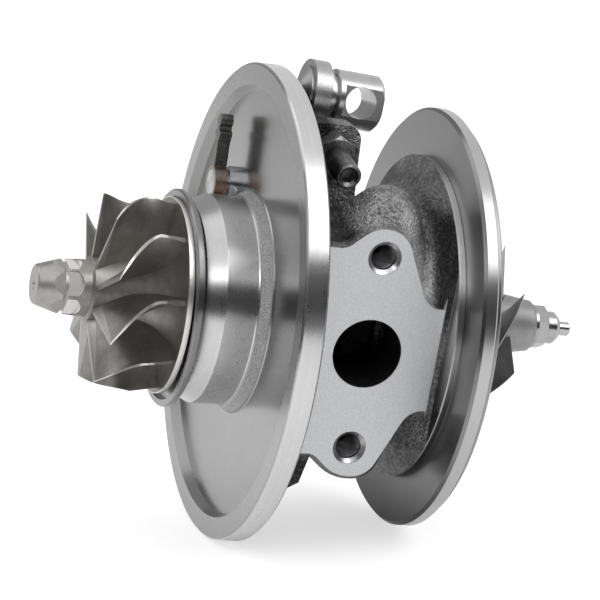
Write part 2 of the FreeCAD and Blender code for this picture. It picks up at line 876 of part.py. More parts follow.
def heat_shield():
    """Pressed pan behind the turbine wheel, hanging loose and a little tilted until it is clamped."""
    pan = shield_front_x + shield_pan_depth
    back = pan + shield_sheet
    wall = shield_lip_inner + shield_sheet
    lift = shield_foot_outer * math.tan(math.radians(shield_tilt))
    seat = boss_front - lift - shield_seat_gap
    shield = turned([
        (pan, shield_bore_radius), (pan, shield_lip_inner - 0.4), (pan - 0.4, shield_lip_inner),
        (shield_front_x, shield_lip_inner), (shield_front_x, shield_radius - 0.25),
        (shield_front_x + 0.25, shield_radius), (shield_front_x + shield_lip_thickness, shield_radius),
        (shield_front_x + shield_lip_thickness, wall), (back - 0.3, wall), (back, wall - 0.3),
        (back, shield_foot_outer + 0.4), (seat, shield_foot_outer),
        (seat, shield_foot_inner), (back, shield_bore_radius),
    ])
    shield.rotate(Vector(seat, 0, 0), Y_AXIS, -shield_tilt)
    shield.translate(Vector(0, 0, -shield_drop))
    return shield


# Bearing housing

def housing_casting():
    """Turned outline of the casting: boss, turbine flange, neck, bowl, compressor flange."""
    ridge_x = boss_front + boss_taper_length
    band_x = recess_floor - band_fillet - band_length
    neck_end = flange_back + neck_length
    waist_x = neck_end + waist_length
    waist_end = compressor_flange_x - bowl_land - bowl_length
    bowl_x = compressor_flange_x - bowl_land
    bend = neck_fillet * (1 - math.cos(math.radians(45)))
    rim = compressor_flange_radius
    rise = bowl_radius - waist_radius
    run = bowl_x - waist_end
    return turned([
        (boss_front, 0), (boss_front, boss_nose_radius), (ridge_x, boss_radius),
        (band_x, boss_radius), (recess_floor - band_fillet, band_radius),
        (recess_floor, band_radius + band_fillet), (recess_floor, recess_radius),
        (flange_front, recess_radius + recess_wall_slope),
        (flange_front, flange_radius - flange_chamfer), (flange_front + flange_chamfer, flange_radius),
        (flange_back - flange_chamfer, flange_radius), (flange_back, flange_radius - flange_chamfer),
        (flange_back, neck_radius + neck_fillet),
        ((flange_back + bend, neck_radius + bend), (flange_back + neck_fillet, neck_radius)),
        (neck_end, neck_radius), (waist_x, waist_radius), (waist_end, waist_radius),
        ((waist_end + 0.6 * run, waist_radius + 0.36 * rise), (bowl_x, bowl_radius)),
        (compressor_flange_x, bowl_radius),
        (compressor_flange_x, rim - compressor_flange_chamfer),
        (compressor_flange_x + compressor_flange_chamfer, rim),
        (compressor_flange_face - 0.3, rim), (compressor_flange_face, rim - 0.3),
        (compressor_flange_face, 0),
    ])


def drain_outline(spread=0.0):
    """Outline (x, z) of the drain flange: a diamond plate with two round bolt lobes.

    The spread widens it in all directions but the compressor flange, where it fades out.
    """
    half = drain_bolt_pitch / 2
    lobe = drain_lobe_radius
    left = flange_back - 0.5
    top = drain_left_top
    bottom = drain_left_bottom
    path = [
        (left, top), (drain_x - 9.6, top),
        ((drain_x - 7.6, top + 0.3), (drain_x - 6.2, top + 1.4)), (drain_x - 4.9, top + 2.5),
        ((drain_x - 0.9, half + lobe), (drain_x + 2.8, half + lobe - 0.9)),
        ((drain_x + 4.6, half + 2.9), (drain_x + lobe, half + 0.8)),
        (drain_x + 8.3, drain_right_top + 4.2),
        ((drain_x + 9.7, drain_right_top + 1.6), (drain_x + 11.8, drain_right_top + 0.1)),
        (drain_right_x, drain_right_top), (drain_right_x, drain_right_bottom + 0.3),
        (drain_x + 12.8, drain_right_bottom + 0.3),
        ((drain_x + 10.8, drain_right_bottom - 0.6), (drain_x + 9.5, drain_right_bottom - 2.3)),
        (drain_x + 5.7, -half - 2.7),
        ((drain_x + 3.8, -half - 5.0), (drain_x + 1.0, -half - lobe - 0.2)),
        ((drain_x - 1.9, -half - 5.4), (drain_x - 4.2, -half - 4.1)),
        (drain_x - 6.2, bottom - 0.6), ((drain_x - 7.2, bottom - 0.1), (drain_x - 8.6, bottom)),
        (left, bottom),
    ]
    widened = []
    for item in path:
        points = item if isinstance(item[0], tuple) else (item,)
        moved = []
        for x, z in points:
            fade = 1 - ((x - left) / drain_flare_fade) ** 6
            moved.append((x + drain_flare_reach * spread * (x - left) * fade, z * (1 + spread)))
        widened.append(tuple(moved) if len(moved) > 1 else moved[0])
    return widened


def drain_block():
    """Cast block under the drain flange, its walls flaring out towards the neck."""
    sections = []
    for depth, spread in drain_flare:
        points = []
        for item in drain_outline(spread):
            if isinstance(item[0], tuple):
                points.append(tuple(Vector(x, drain_face_y + depth, z) for x, z in item))
            else:
                points.append(Vector(item[0], drain_face_y + depth, item[1]))
        sections.append(closed_wire(points))
    return Part.makeLoft(sections, True, False)


def drain_rib():
    """Gusset between the drain flange and the back of the turbine flange."""
    top = drain_left_bottom + 1.0
    path = [
        (flange_back - 0.5, top), (flange_back + drain_rib_reach, top),
        (flange_back + drain_rib_reach - 1.6, top - drain_rib_height),
        (flange_back - 0.5, top - drain_rib_height - 4.5),
    ]
    return plate_y(path, drain_face_y + 0.6, drain_face_y + 0.6 + drain_rib_thickness)


def lug_block():
    """Upright cast lug that holds the stop screw, webbed to the turbine flange."""
    left = flange_back - 0.5
    corner = lug_corner * (1 - math.cos(math.radians(45)))
    path = [
        (left, lug_foot_z), (lug_foot_x, lug_foot_z), (lug_end_x, lug_top_z - lug_corner - 5),
        (lug_end_x - 0.3, lug_top_z - lug_corner),
        ((lug_end_x - 0.3 - corner, lug_top_z - corner), (lug_end_x - 0.3 - lug_corner, lug_top_z)),
        (left, lug_top_z),
    ]
    return plate_y(path, lug_front_y, lug_front_y + lug_thickness)


def inlet_block():
    """Round boss for the oil inlet on the side away from the drain."""
    return rod(inlet_boss_radius, Vector(inlet_x, 0, 0), inlet_face_y, Y_AXIS)


def lever_boss():
    """Cast boss behind the turbine flange around the lever bush."""
    return rod_x(lever_boss_radius, flange_back - 0.5, lever_boss_end, pivot_y, pivot_z)


def screw_axis_point(distance):
    """Point on the stop screw's axis at a distance from its outer end."""
    return Vector(screw_x, screw_end_y, screw_end_z) + screw_tilt_axis * distance


def lug_distance(y):
    """Distance along the stop screw's axis from its outer end to a plane of constant y."""
    return (y - screw_end_y) / screw_tilt_axis.y


def housing_bores():
    """Everything bored out of the casting along the shaft axis."""
    far = compressor_flange_face + 1
    bearing = bearing_bore_radius
    cuts = [
        rod_x(seal_bore_radius, boss_front - 1, slinger_cavity_start + 0.1),
        rod_x(slinger_cavity_radius, slinger_cavity_start, slinger_cavity_start + slinger_cavity_length),
        rod_x(bearing, slinger_cavity_start, far),
        rod_x(thrust_pocket_radius, thrust_pocket_x, far),
        rod_x(thrust_bore_radius, thrust_seat_x, far),
    ]
    core_start = turbine_bearing_x + bearing_length + bearing_end_play + retaining_ring_width + bearing_bore_land
    core_end = compressor_bearing_x - bearing_end_play - retaining_ring_width - bearing_bore_land
    cuts.append(rod_x(core_radius, core_start, core_end))
    for x0 in retaining_stations():
        cuts.append(rod_x(bearing + retaining_ring_depth, x0, x0 + retaining_ring_width))
    cuts.append(rod_x(oil_slot_radius, slinger_cavity_start + 1, core_start + 1, oil_slot_y))
    cuts.append(rod_x(thrust_slot_radius, drain_x, thrust_seat_x + 1, thrust_slot_y))
    return cuts


def oil_passages():
    """Drain hole, inlet thread, gallery and the feeds to both bearings."""
    cuts = [
        rod(drain_radius, Vector(drain_x, drain_face_y - 1, 0), drain_bore_end_y - drain_face_y + 1, Y_AXIS),
        rod(inlet_radius, Vector(inlet_x, inlet_face_y - inlet_depth, 0), inlet_depth + 1, Y_AXIS),
        rod(inlet_passage_radius, Vector(inlet_x, gallery_y, 0), inlet_face_y - gallery_y, Y_AXIS),
        rod_x(gallery_radius, turbine_bearing_x + bearing_length / 2 - 1.5, thrust_seat_x + 1, gallery_y),
    ]
    for x0 in (turbine_bearing_x, compressor_bearing_x):
        middle = x0 + bearing_length / 2
        start = Vector(middle, bearing_bore_radius - 1, 0)
        cuts.append(rod(feed_radius, start, gallery_y - bearing_bore_radius + 1, Y_AXIS))
    return cuts


def threaded_holes():
    """Blind bolt holes of the drain flange, stop screw hole and screw holes at the far end."""
    cuts = []
    for side in (-1, 1):
        z = side * drain_bolt_pitch / 2
        cuts.append(rod(drain_bolt_radius, Vector(drain_x, drain_face_y - 1, z), drain_bolt_depth + 1, Y_AXIS))
        cuts.append(Part.makeCone(drain_bolt_radius + drain_bolt_chamfer, drain_bolt_radius, drain_bolt_chamfer,
                                  Vector(drain_x, drain_face_y, z), Y_AXIS))
    start = screw_axis_point(lug_distance(lug_front_y) - 2)
    cuts.append(rod(screw_radius + thread_clearance, start, lug_thickness + 4, screw_tilt_axis))
    for y, z in thrust_screw_points():
        bottom = thrust_seat_x - thrust_screw_length - 0.5
        cuts.append(rod_x(thrust_screw_radius + thread_clearance, bottom, thrust_seat_x + 1, y, z))
    for y, z in backplate_screw_points():
        bottom = compressor_flange_face - backplate_screw_length + backplate_thickness - 0.4
        cuts.append(rod_x(backplate_screw_radius + thread_clearance, bottom, compressor_flange_face + 1, y, z))
    return cuts


def bearing_housing():
    """Bearing housing: one casting with both flanges, machined inside and out."""
    body = housing_casting()
    body = body.multiFuse([drain_block(), drain_rib(), lug_block(), inlet_block(), lever_boss()])
    outside = rod_x(flange_radius + 5, flange_back, compressor_flange_x)
    face_cut = Part.makeBox(compressor_flange_x - bowl_land + 0.2 - flange_back, 20, 2 * flange_radius,
                            Vector(flange_back, drain_face_y - 20, -flange_radius))
    body = body.cut(face_cut.common(outside))
    body = body.cut(rod_x(bush_radius, flange_front - 20, lever_boss_end + 1, pivot_y, pivot_z))
    for cutter in housing_bores() + oil_passages() + threaded_holes():
        body = body.cut(cutter)
    return body.removeSplitter()


# Nozzle lever

def lever_bush():
    """Bush pressed through the turbine flange for the lever shaft."""
    return tube_x(bush_radius, pivot_radius + running_clearance, bush_length, lever_boss_end, pivot_y, pivot_z)


def lever_shaft():
    """Pivot shaft that joins the inner and outer levers."""
    start = bush_length - inner_hub_gap - inner_hub_length
    end = outer_lever_x + outer_lever_thickness + 0.5
    body = rod_x(pivot_radius, start, end, pivot_y, pivot_z)
    rivet = Part.makeCone(pivot_radius, pivot_radius - 0.5, 0.5, Vector(end - 0.01, pivot_y, pivot_z), X_AXIS)
    return body.fuse(rivet).removeSplitter()


def inner_lever():
    """Finger lever on the turbine side: hub, arm, shoulder, waist and a round tip for the nozzle ring."""
    x1 = bush_length - inner_hub_gap
    x0 = x1 - inner_hub_length
    half = inner_arm_width / 2
    wide = inner_shoulder_width / 2
    waist = inner_waist_width / 2
    foot = inner_tip_reach - math.sqrt(inner_tip_radius ** 2 - waist ** 2)
    top = inner_shoulder_top
    path = [
        (-half, 0), (-half, inner_shoulder_start), (-wide, top - 0.6),
        ((-wide + 0.1, top - 0.2), (-wide + 0.4, top)), (-waist, top + 0.15), (-waist, foot),
        ((0, inner_tip_reach + inner_tip_radius), (waist, foot)), (waist, top + 0.15),
        (wide - 0.4, top), ((wide - 0.1, top - 0.2), (wide, top - 0.6)),
        (half, inner_shoulder_start), (half, 0),
    ]
    arm = plate_x(path, x1 - inner_arm_thickness, x1)
    arm.rotate(ORIGIN, X_AXIS, -inner_arm_lean)
    arm.translate(Vector(0, pivot_y, pivot_z))
    body = arm.fuse(rod_x(inner_hub_radius, x0, x1, pivot_y, pivot_z)).removeSplitter()
    return body.cut(rod_x(pivot_radius, x0 - 1, x1 + 1, pivot_y, pivot_z))


def eye_frame(shape):
    """Places a shape built along X at the origin into the tilted eye of the lever."""
    placed = shape.copy()
    placed.rotate(ORIGIN, Y_AXIS, eye_tilt)
    placed.translate(Vector(outer_lever_x + outer_lever_thickness / 2, eye_y, eye_z))
    return placed


def outer_lever():
    """Crank lever outside: hub on the shaft, flat arm and an eye for the actuator pin."""
    x0 = outer_lever_x
    x1 = x0 + outer_lever_thickness
    half = outer_arm_width / 2
    hub = rod_x(outer_hub_radius, x0, x1, pivot_y, pivot_z)
    lean = (eye_y - pivot_y) / (eye_z - pivot_z)
    arm = plate_x([
        (pivot_y - half, pivot_z), (eye_y - half, eye_z), (eye_y + half, eye_z), (pivot_y + half, pivot_z),
    ], x0, x1)
    arm = arm.cut(eye_frame(rod_x(eye_radius - 0.5, -6, 6)))
    eye = eye_frame(rod_x(eye_radius, -outer_lever_thickness / 2, outer_lever_thickness / 2))
    body = hub.fuse(arm).fuse(eye)
    body = body.cut(eye_frame(rod_x(pin_shank_radius + running_clearance, -6, 6)))
    return body.cut(rod_x(pivot_radius, x0 - 1, x1 + 1, pivot_y, pivot_z)).removeSplitter()


def actuator_pin():
    """Swivel pin: rivet head, shank through the eye, flatted barrel with a cross hole."""
    half = outer_lever_thickness / 2 + pin_side_play
    shoulder = half + pin_washer_thickness + pin_side_play
    start = shoulder + pin_neck_length
    end = start + pin_length
    body = turned([
        (-half - pin_head_rim - pin_head_crown, 0), (-half - pin_head_rim - pin_head_crown, pin_head_radius * 0.45),
        (-half - pin_head_rim, pin_head_radius), (-half, pin_head_radius),
        (-half, pin_shank_radius), (shoulder, pin_shank_radius),
        (shoulder, pin_neck_radius), (start, pin_neck_radius), (start, pin_radius - 0.3),
        (start + 0.3, pin_radius), (end - pin_end_chamfer, pin_radius),
        (end, pin_radius - pin_end_chamfer), (end, 0),
    ])
    for side in (-1, 1):
        low = pin_flat if side > 0 else -pin_flat - 5
        slab = Part.makeBox(pin_length, 5, 4 * pin_radius, Vector(start + pin_flat_start, low, -2 * pin_radius))
        body = body.cut(slab)
    hole = rod(pin_hole_radius, Vector(end - pin_hole_inset, -pin_radius - 1, 0), 2 * pin_radius + 2, Y_AXIS)
    body = body.cut(hole)
    body.rotate(ORIGIN, X_AXIS, pin_rest_turn)
    return eye_frame(body)


def pin_washer():
    """Washer between the eye and the barrel of the swivel pin."""
    x0 = outer_lever_thickness / 2 + pin_side_play
    return eye_frame(tube_x(pin_washer_radius, pin_washer_inner, x0, x0 + pin_washer_thickness))


# Stop screw

def screw_stop_distance():
    """Length of the stop screw, from its outer end to where its tip meets the lever."""
    axis = screw_tilt_axis
    up = Vector(0, -axis.z, axis.y)
    lean = (eye_y - pivot_y) / (eye_z - pivot_z)
    eye = Vector(screw_x, eye_y, eye_z)
    lengths = []
    for radius, setback in ((screw_radius - screw_tip_taper, 0.0), (screw_radius, screw_tip_taper)):
        for side in (-1, 1):
            corner = screw_axis_point(0) + up * (side * radius)
            edge = pivot_y - outer_arm_width / 2 + lean * (corner.z - pivot_z) - screw_tip_gap
            lengths.append(setback + (edge - corner.y) / (axis.y - lean * axis.z))
            away = (corner - eye).cross(axis).Length
            reach = eye_radius + screw_tip_gap
            if away < reach:
                lengths.append(setback - (corner - eye).dot(axis) - math.sqrt(reach ** 2 - away ** 2))
    return min(lengths)


def stop_screw():
    """Set screw with a hexagon socket whose tip limits the lever."""
    length = screw_stop_distance()
    taper = screw_tip_taper
    rim = screw_end_chamfer
    body = rod(screw_radius, screw_axis_point(rim), length - taper - rim, screw_tilt_axis)
    tip = Part.makeCone(screw_radius, screw_radius - taper, taper, screw_axis_point(length - taper), screw_tilt_axis)
    end = Part.makeCone(screw_radius - rim, screw_radius, rim, screw_axis_point(0), screw_tilt_axis)
    body = body.fuse(tip).fuse(end).removeSplitter()
    corner = screw_socket_flats / 2 / math.cos(math.radians(30))
    flare = screw_socket_chamfer
    mouth = Part.makeCone(corner + flare, corner - 0.1, flare + 0.1, screw_axis_point(0), screw_tilt_axis)
    socket = hexagon(screw_socket_flats, screw_axis_point(-0.5), screw_socket_depth + 0.5, screw_tilt_axis)
    return body.cut(mouth).cut(socket)


def stop_lock_nut():
    """Thin hexagon nut that locks the stop screw against the lug."""
    end = lug_distance(lug_front_y) - 0.5 * lock_nut_flats * math.tan(math.radians(screw_tilt)) - 0.05
    start = end - lock_nut_length
    body = hexagon(lock_nut_flats, screw_axis_point(start), lock_nut_length, screw_tilt_axis, lock_nut_turn)
    corner = lock_nut_flats / 2 / math.cos(math.radians(30))
    dome = Part.makeCone(corner - 0.7, corner + 0.6, 1.3, screw_axis_point(start), screw_tilt_axis)
    dome = dome.fuse(rod(corner + 0.6, screw_axis_point(start + 1.3), lock_nut_length, screw_tilt_axis))
    body = body.common(dome)
    bore = rod(screw_radius + thread_clearance, screw_axis_point(start - 1), lock_nut_length + 2, screw_tilt_axis)
    return body.cut(bore)


def export(name, shape):
    """Writes one node as a STEP file."""
    shape.exportStep(os.path.join("parts", name + ".step"))
    print(name, "valid", shape.isValid(), "solids", len(shape.Solids), "volume", round(shape.Volume, 1))


os.makedirs("parts", exist_ok=True)
export("bearing_housing", bearing_housing())
export("heat_shield", heat_shield())
export("turbine_wheel", turbine_wheel())
export("rotor_shaft", rotor_shaft())
export("turbine_piston_ring", piston_ring(turbine_ring_x, seal_bore_radius, rotor_neck_radius))
export("turbine_journal_bearing", journal_bearing(turbine_bearing_x))
export("compressor_journal_bearing", journal_bearing(compressor_bearing_x))
export("bearing_retaining_rings", retaining_rings())
export("thrust_collar", thrust_collar())
export("thrust_bearing", thrust_bearing())
export("thrust_bearing_screws", thrust_screws_group())
export("oil_deflector", oil_deflector())
export("oil_flinger", oil_flinger())
compressor_seal_bore = flinger_neck_radius + seal_hub_clearance
export("compressor_piston_ring", piston_ring(compressor_ring_x, compressor_seal_bore, flinger_neck_radius))
export("compressor_backplate", compressor_backplate())
export("backplate_o_ring", backplate_o_ring())
export("backplate_screws", backplate_screws_group())
export("compressor_wheel", compressor_wheel())
export("shaft_nut", shaft_nut())
export("lever_bush", lever_bush())
export("lever_shaft", lever_shaft())
export("inner_lever", inner_lever())
export("outer_lever", outer_lever())
export("actuator_pin", actuator_pin())
export("pin_washer", pin_washer())
export("stop_screw", stop_screw())
export("stop_lock_nut", stop_lock_nut())
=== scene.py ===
import math

import bpy
import numpy as np
from mathutils import Matrix, Vector


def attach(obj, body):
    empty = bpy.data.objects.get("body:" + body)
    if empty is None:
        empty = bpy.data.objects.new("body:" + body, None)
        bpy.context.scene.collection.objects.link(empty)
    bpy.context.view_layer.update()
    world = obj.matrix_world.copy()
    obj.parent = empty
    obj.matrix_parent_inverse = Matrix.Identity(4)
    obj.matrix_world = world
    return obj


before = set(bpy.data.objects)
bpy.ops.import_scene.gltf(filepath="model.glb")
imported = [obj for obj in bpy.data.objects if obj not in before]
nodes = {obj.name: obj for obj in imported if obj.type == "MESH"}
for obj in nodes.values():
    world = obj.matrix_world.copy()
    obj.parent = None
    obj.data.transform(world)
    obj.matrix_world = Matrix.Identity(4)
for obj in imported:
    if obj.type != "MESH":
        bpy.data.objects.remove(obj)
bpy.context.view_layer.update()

# The scene is in metres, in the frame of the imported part: X runs along the shaft toward the
# compressor, Z is up, and the drain face looks along -Y. Finishes and threads measure in
# millimetres.
MM = 0.001

# Sizes of the part that the finishes and the threads follow, in millimetres
flange_back = 2.3
rim_radius = 46.5
recess_floor = -0.3
boss_radius = 20.35
band_inner, band_outer = 20.6, 21.65
bowl_radius = 31.9
land_x = 32.85
compressor_flange_x = 34.5
compressor_chamfer = 0.6
drain_face_y = -26.7
drain_x = 17.8
drain_right_x = 31.7
drain_radius = 6.8
bolt_reach = 19.0
bolt_radius = 2.5
pivot_y, pivot_z = 16.76, 18.81
hub_front = -5.2
hub_radius = 3.5
compressor_tip_radius = 23.36


# Small helpers that write shader nodes

def feed(tree, socket, value):
    """Joins a socket to another node's output, or writes a plain value in it."""
    if isinstance(value, bpy.types.NodeSocket):
        tree.links.new(value, socket)
    else:
        socket.default_value = value


def number(tree, operation, *values):
    """One step of arithmetic on numbers."""
    step = tree.nodes.new("ShaderNodeMath")
    step.operation = operation
    for socket, value in zip(step.inputs, values):
        feed(tree, socket, value)
    return step.outputs[0]


def chain(tree, operation, first, *others):
    """The same step of arithmetic over a row of numbers."""
    for other in others:
        first = number(tree, operation, first, other)
    return first


def times(tree, *values):
    """Product of numbers; of masks, what all of them cover."""
    return chain(tree, "MULTIPLY", *values)


def most(tree, *values):
    """Largest of some numbers; of masks, what any of them covers."""
    return chain(tree, "MAXIMUM", *values)


def distance(tree, across, up):
    """Length of a step with two legs."""
    squares = number(tree, "ADD", times(tree, across, across), times(tree, up, up))
    return number(tree, "SQRT", squares)


def combine(tree, operation, *values):
    """One step of arithmetic on vectors."""
    step = tree.nodes.new("ShaderNodeVectorMath")
    step.operation = operation
    for socket, value in zip(step.inputs, values):
        feed(tree, socket, value)
    return step.outputs["Value" if operation in ("LENGTH", "DISTANCE") else "Vector"]


def ramp(tree, value, low, high, start=0.0, end=1.0):
    """Moves a number smoothly from start to end while the value goes from low to high."""
    step = tree.nodes.new("ShaderNodeMapRange")
    step.interpolation_type = "SMOOTHSTEP"
    names = ("Value", "From Min", "From Max", "To Min", "To Max")
    for name, item in zip(names, (value, low, high, start, end)):
        feed(tree, step.inputs[name], item)
    return step.outputs[0]


# In the next three, soft is how far a mask fades to each side of its edge, in millimetres where
# the value is a place

def above(tree, value, edge, soft):
    """Mask that is 1 above an edge."""
    return ramp(tree, value, edge - soft, edge + soft)


def below(tree, value, edge, soft):
    """Mask that is 1 below an edge."""
    return ramp(tree, value, edge - soft, edge + soft, 1.0, 0.0)


def within(tree, value, low, high, soft):
    """Mask that is 1 between two edges."""
    return times(tree, above(tree, value, low, soft), below(tree, value, high, soft))


def blend(tree, share, low, high):
    """Mix of two colours by a share."""
    step = tree.nodes.new("ShaderNodeMix")
    step.data_type = "RGBA"
    feed(tree, step.inputs["Factor"], share)
    for name, item in (("A", low), ("B", high)):
        feed(tree, step.inputs[name], (*item, 1.0) if isinstance(item, tuple) else item)
    return step.outputs["Result"]


def between(tree, share, low, high):
    """Mix of two numbers by a share."""
    step = tree.nodes.new("ShaderNodeMix")
    step.data_type = "FLOAT"
    for name, item in (("Factor", share), ("A", low), ("B", high)):
        feed(tree, step.inputs[name], item)
    return step.outputs["Result"]


def noise(tree, place, scale, detail, rough, dimensions="3D"):
    """Soft random value at a place, given in millimetres."""
    step = tree.nodes.new("ShaderNodeTexNoise")
    step.noise_dimensions = dimensions
    feed(tree, step.inputs["W" if dimensions == "1D" else "Vector"], place)
    for name, item in (("Scale", scale), ("Detail", detail), ("Roughness", rough)):
        feed(tree, step.inputs[name], item)
    return step.outputs["Fac"]


def new_group(name, inputs, outputs):
    """Empty node group with named inputs and outputs; returns the tree and its two ends."""
    tree = bpy.data.node_groups.new(name, "ShaderNodeTree")
    for label, kind, value in inputs:
        socket = tree.interface.new_socket(name=label, in_out="INPUT",
                                           socket_type="NodeSocket" + kind)
        if value is not None:
            socket.default_value = value
    for label, kind in outputs:
        tree.interface.new_socket(name=label, in_out="OUTPUT", socket_type="NodeSocket" + kind)
    ends = tree.nodes.new("NodeGroupInput"), tree.nodes.new("NodeGroupOutput")
    return tree, ends[0].outputs, ends[1].inputs


def use(tree, group, **values):
    """Places a node group in a material and sets its inputs; returns its outputs."""
    step = tree.nodes.new("ShaderNodeGroup")
    step.node_tree = group
    for name, value in values.items():
        feed(tree, step.inputs[name], value)
    return step.outputs


# Effects that several finishes share

def place_group():
    """Where a point lies, in millimetres: its place, the three parts of it, and its radius."""
    tree, _, out = new_group("place on the part", [], [
        ("Place", "Vector"), ("Station", "Float"), ("Side", "Float"), ("Height", "Float"),
        ("Radius", "Float")])
    source = tree.nodes.new("ShaderNodeTexCoord").outputs["Object"]
    place = combine(tree, "MULTIPLY", source, (1 / MM,) * 3)
    parts = tree.nodes.new("ShaderNodeSeparateXYZ")
    feed(tree, parts.inputs[0], place)
    x, y, z = parts.outputs
    for socket, value in zip(out, (place, x, y, z, distance(tree, y, z))):
        feed(tree, socket, value)
    return tree


def turning_group():
    """Fine rings left by a lathe tool, as a height and a tone, along any distance."""
    tree, given, out = new_group(
        "turning rings", [("Distance", "Float", 0.0), ("Rings", "Float", 6.0)],
        [("Height", "Float"), ("Tone", "Float")])
    wide_rings = 0.55
    fine_place = times(tree, given["Distance"], given["Rings"])
    wide_place = times(tree, given["Distance"], wide_rings)
    fine = noise(tree, fine_place, scale=1.0, detail=2.0, rough=0.7, dimensions="1D")
    wide = noise(tree, wide_place, scale=1.0, detail=2.0, rough=0.5, dimensions="1D")
    feed(tree, out["Height"], between(tree, 0.3, fine, wide))
    feed(tree, out["Tone"], above(tree, between(tree, 0.5, fine, wide), 0.5, 0.2))
    return tree


def skin_group():
    """Sand-cast skin: grains on soft lumps, as a height, a tone and bright worn specks."""
    tree, given, out = new_group(
        "cast skin", [("Place", "Vector", None), ("Grain", "Float", 2.2), ("Lumps", "Float", 0.35)],
        [("Height", "Float"), ("Tone", "Float"), ("Specks", "Float")])
    grain_depth, lump_depth, pit_depth = 0.55, 0.5, 0.3
    grain = noise(tree, given["Place"], given["Grain"], detail=6.0, rough=0.72)
    lumps = noise(tree, given["Place"], given["Lumps"], detail=2.0, rough=0.5)
    cells = tree.nodes.new("ShaderNodeTexVoronoi")
    feed(tree, cells.inputs["Vector"], given["Place"])
    feed(tree, cells.inputs["Scale"], given["Grain"])
    pits = above(tree, cells.outputs["Distance"], 0.3, 0.25)
    lower = number(tree, "ADD", times(tree, lumps, lump_depth), times(tree, pits, pit_depth))
    feed(tree, out["Height"], number(tree, "ADD", times(tree, grain, grain_depth), lower))
    feed(tree, out["Tone"], above(tree, between(tree, 0.25, grain, lumps), 0.51, 0.15))
    feed(tree, out["Specks"], above(tree, grain, 0.62, 0.06))
    return tree


def handling_group():
    """Smears of oil and handling: a slow uneven value with faint streaks."""
    tree, given, out = new_group("handling marks", [("Place", "Vector", None)],
                                 [("Smear", "Float")])
    slow = noise(tree, given["Place"], scale=0.09, detail=4.0, rough=0.6)
    quick = noise(tree, given["Place"], scale=0.6, detail=3.0, rough=0.5)
    feed(tree, out["Smear"], above(tree, between(tree, 0.3, slow, quick), 0.5, 0.15))
    return tree


PLACE = place_group()
TURNING = turning_group()
SKIN = skin_group()
HANDLING = handling_group()


# Finishes that several pieces share

def start_finish(name, metallic=1.0, anisotropy=0.0):
    """Opens a material with a metal shader; returns the tree, the shader and the point's place."""
    material = bpy.data.materials.new(name)
    material.use_nodes = True
    tree = material.node_tree
    shader = tree.nodes["Principled BSDF"]
    shader.inputs["Metallic"].default_value = metallic
    shader.inputs["Anisotropic"].default_value = anisotropy
    if anisotropy:
        across_the_rings = 0.25
        shader.inputs["Anisotropic Rotation"].default_value = across_the_rings
        way = tree.nodes.new("ShaderNodeTangent")
        way.direction_type = "RADIAL"
        way.axis = "X"
        feed(tree, shader.inputs["Tangent"], way.outputs[0])
    return material, tree, shader, use(tree, PLACE)


def raise_height(tree, shader, height, depth):
    """Gives the shader a bump of a depth in millimetres."""
    bump = tree.nodes.new("ShaderNodeBump")
    bump.inputs["Distance"].default_value = depth * MM
    feed(tree, bump.inputs["Height"], height)
    feed(tree, shader.inputs["Normal"], bump.outputs[0])


def turned_finish(name, colour, shine, rings, depth, along="Radius", anisotropy=0.7):
    """Metal turned on a lathe: rings in height and tone, a little handling."""
    contrast = 0.10
    least_shine, most_shine = shine * 0.85, shine * 1.2
    material, tree, shader, at = start_finish(name, anisotropy=anisotropy)
    ring = use(tree, TURNING, Distance=at[along], Rings=rings)
    smear = use(tree, HANDLING, Place=at["Place"])["Smear"]
    tone = between(tree, 0.4, ring["Tone"], smear)
    dark = tuple(c * (1 - contrast) for c in colour)
    light = tuple(min(c * (1 + contrast), 1.0) for c in colour)
    feed(tree, shader.inputs["Base Color"], blend(tree, tone, dark, light))
    feed(tree, shader.inputs["Roughness"], between(tree, smear, least_shine, most_shine))
    raise_height(tree, shader, ring["Height"], depth)
    return material


def cast_finish(name, dark, light, shine, grain, depth, metallic):
    """Metal as it was cast, blasted or coated: grains, lumps and worn specks."""
    worn_shine = shine * 0.7
    material, tree, shader, at = start_finish(name, metallic)
    skin = use(tree, SKIN, Place=at["Place"], Grain=grain)
    feed(tree, shader.inputs["Base Color"], blend(tree, skin["Tone"], dark, light))
    feed(tree, shader.inputs["Roughness"], between(tree, skin["Specks"], shine, worn_shine))
    raise_height(tree, shader, skin["Height"], depth)
    return material


# Bearing housing: one solid, told apart by where each cut has been made in the casting

